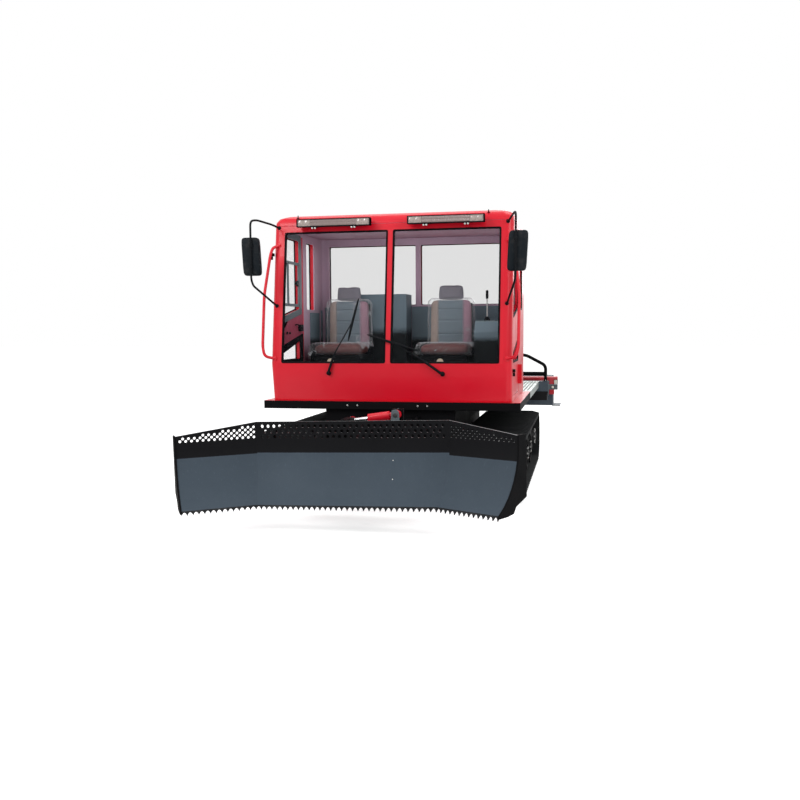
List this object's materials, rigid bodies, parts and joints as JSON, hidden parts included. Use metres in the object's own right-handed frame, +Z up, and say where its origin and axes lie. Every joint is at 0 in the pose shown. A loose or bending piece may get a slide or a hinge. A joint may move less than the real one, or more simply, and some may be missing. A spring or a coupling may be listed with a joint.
{
  "type": "tracked snow groomer",
  "caption": "Compact tracked snow groomer with a boxy cab on a flat deck, a folded front blade and a raised rear tiller.",
  "frame": {"origin": "under the middle of the whole machine, blade and tiller included, on the ground that the tracks stand on", "axes": "-Y is forwards, +X is the machine's own left side, +Z is up"},
  "size_m": [2.78, 5.7825, 2.505],
  "materials": {
    "cab_paint": "glossy red paint",
    "black_paint": "satin black paint",
    "slate_paint": "satin slate-grey paint, worn at the edge",
    "tread_plate": "bare tread plate",
    "track_rubber": "moulded rubber belt and bars",
    "clear_glass": "lightly tinted flat glass",
    "seat_vinyl": "vinyl under a loose clear film",
    "trim_grey": "grained grey trim",
    "black_plastic": "moulded black plastic",
    "lamp_clear": "clear lamp lens in a dark housing",
    "raw_steel": "dark cast steel",
    "chrome_rod": "polished rod"
  },
  "bodies": {
    "machine": {"chassis_tub": "black_paint", "deck_front": "cab_paint", "deck_rear": "tread_plate", "rear_beam": "slate_paint", "guard_rail": "black_paint", "cab_shell": "cab_paint", "cab_roof": "cab_paint", "cab_floor": "black_plastic", "windscreen_left": "clear_glass", "windscreen_right": "clear_glass", "rear_window_left": "clear_glass", "rear_window_right": "clear_glass", "dashboard": "trim_grey", "control_console": "trim_grey", "rear_cabinet": "trim_grey", "engine_housing": "black_paint", "engine_block": "raw_steel", "seat_frame_left": "black_plastic", "seat_cushion_left": "seat_vinyl", "seat_back_left": "seat_vinyl", "light_bar_left": "lamp_clear", "mirror_left": "black_plastic", "grab_rail_left": "cab_paint", "track_left": "track_rubber", "track_frame_left": "black_paint", "drive_sprocket_left": "raw_steel", "seat_frame_right": "black_plastic", "seat_cushion_right": "seat_vinyl", "seat_back_right": "seat_vinyl", "light_bar_right": "lamp_clear", "mirror_right": "black_plastic", "grab_rail_right": "cab_paint", "track_right": "track_rubber", "track_frame_right": "black_paint", "drive_sprocket_right": "raw_steel"},
    "door_left": {"door_left": "cab_paint", "door_window_left": "clear_glass"},
    "door_right": {"door_right": "cab_paint", "door_window_right": "clear_glass"},
    "engine_hood": {"engine_hood": "cab_paint"},
    "push_frame": {"push_frame": "black_paint"},
    "lift_barrel": {"lift_barrel": "cab_paint"},
    "lift_rod": {"lift_rod": "chrome_rod"},
    "blade": {"blade_centre": "slate_paint", "blade_wing_left": "slate_paint", "blade_wing_right": "slate_paint", "blade_backbone": "black_paint"},
    "tilt_barrel": {"tilt_barrel": "cab_paint"},
    "tilt_rod": {"tilt_rod": "chrome_rod"},
    "tiller": {"tiller_frame": "cab_paint", "tiller_hood": "slate_paint", "tiller_comb": "track_rubber"},
    "tiller_rotor": {"tiller_rotor": "raw_steel"},
    "tiller_lift_barrel": {"tiller_lift_barrel": "cab_paint"},
    "tiller_lift_rod": {"tiller_lift_rod": "chrome_rod"}
  },
  "joints": [
    {"name": "door_left_hinge", "type": "hinge", "parent": "machine", "child": "door_left", "pos_m": [1.087, -1, 1.6], "axis": [0, 0, -1], "range_deg": [0, 75]},
    {"name": "door_right_hinge", "type": "hinge", "parent": "machine", "child": "door_right", "pos_m": [-1.087, -1, 1.6], "axis": [0, 0, 1], "range_deg": [0, 75]},
    {"name": "engine_hood_hinge", "type": "hinge", "parent": "machine", "child": "engine_hood", "pos_m": [0, 1.8, 1.62], "axis": [-1, 0, 0], "range_deg": [0, 60]},
    {"name": "blade_lift", "type": "hinge", "parent": "machine", "child": "push_frame", "pos_m": [0, -1.14, 0.36], "axis": [-1, 0, 0], "range_deg": [-4, 15]},
    {"name": "blade_tilt", "type": "hinge", "parent": "push_frame", "child": "blade", "pos_m": [0, -2.24, 0.48], "axis": [0, 1, 0], "range_deg": [-5, 7]},
    {"name": "lift_barrel_swing", "type": "hinge", "parent": "machine", "child": "lift_barrel", "pos_m": [0, -1.14, 0.66], "axis": [-1, 0, 0], "range_deg": [-4, 14]},
    {"name": "lift_rod_slide", "type": "slide", "parent": "lift_barrel", "child": "lift_rod", "axis": [0, -0.9337, -0.3579], "range_m": [-0.08, 0.025]},
    {"name": "tilt_barrel_swing", "type": "hinge", "parent": "push_frame", "child": "tilt_barrel", "pos_m": [0.285, -2.1, 0.825], "axis": [0, 1, 0], "range_deg": [-2, 2]},
    {"name": "tilt_rod_slide", "type": "slide", "parent": "tilt_barrel", "child": "tilt_rod", "axis": [-0.9895, 0, -0.1447], "range_m": [-0.04, 0.03]},
    {"name": "tiller_lift", "type": "hinge", "parent": "machine", "child": "tiller", "pos_m": [0, 1.6, 0.46], "axis": [1, 0, 0], "range_deg": [-26, 0]},
    {"name": "tiller_rotor_spin", "type": "hinge", "parent": "tiller", "child": "tiller_rotor", "pos_m": [0, 2.62, 0.7], "axis": [1, 0, 0], "continuous": true},
    {"name": "tiller_barrel_swing", "type": "hinge", "parent": "machine", "child": "tiller_lift_barrel", "pos_m": [0, 1.6, 0.29], "axis": [1, 0, 0], "range_deg": [-27, 1]},
    {"name": "tiller_rod_slide", "type": "slide", "parent": "tiller_lift_barrel", "child": "tiller_lift_rod", "axis": [0, 0.8884, 0.459], "range_m": [-0.085, 0.005]}
  ],
  "couplings": [
    {"joint": "lift_barrel_swing", "follows": "blade_lift", "ratio": 0.865},
    {"joint": "lift_rod_slide", "follows": "blade_lift", "m_per_rad": -0.288},
    {"joint": "tilt_barrel_swing", "follows": "blade_tilt", "ratio": 0.05},
    {"joint": "tilt_rod_slide", "follows": "blade_tilt", "m_per_rad": -0.3},
    {"joint": "tiller_barrel_swing", "follows": "tiller_lift", "ratio": 0.925},
    {"joint": "tiller_rod_slide", "follows": "tiller_lift", "m_per_rad": 0.1615}
  ]
}
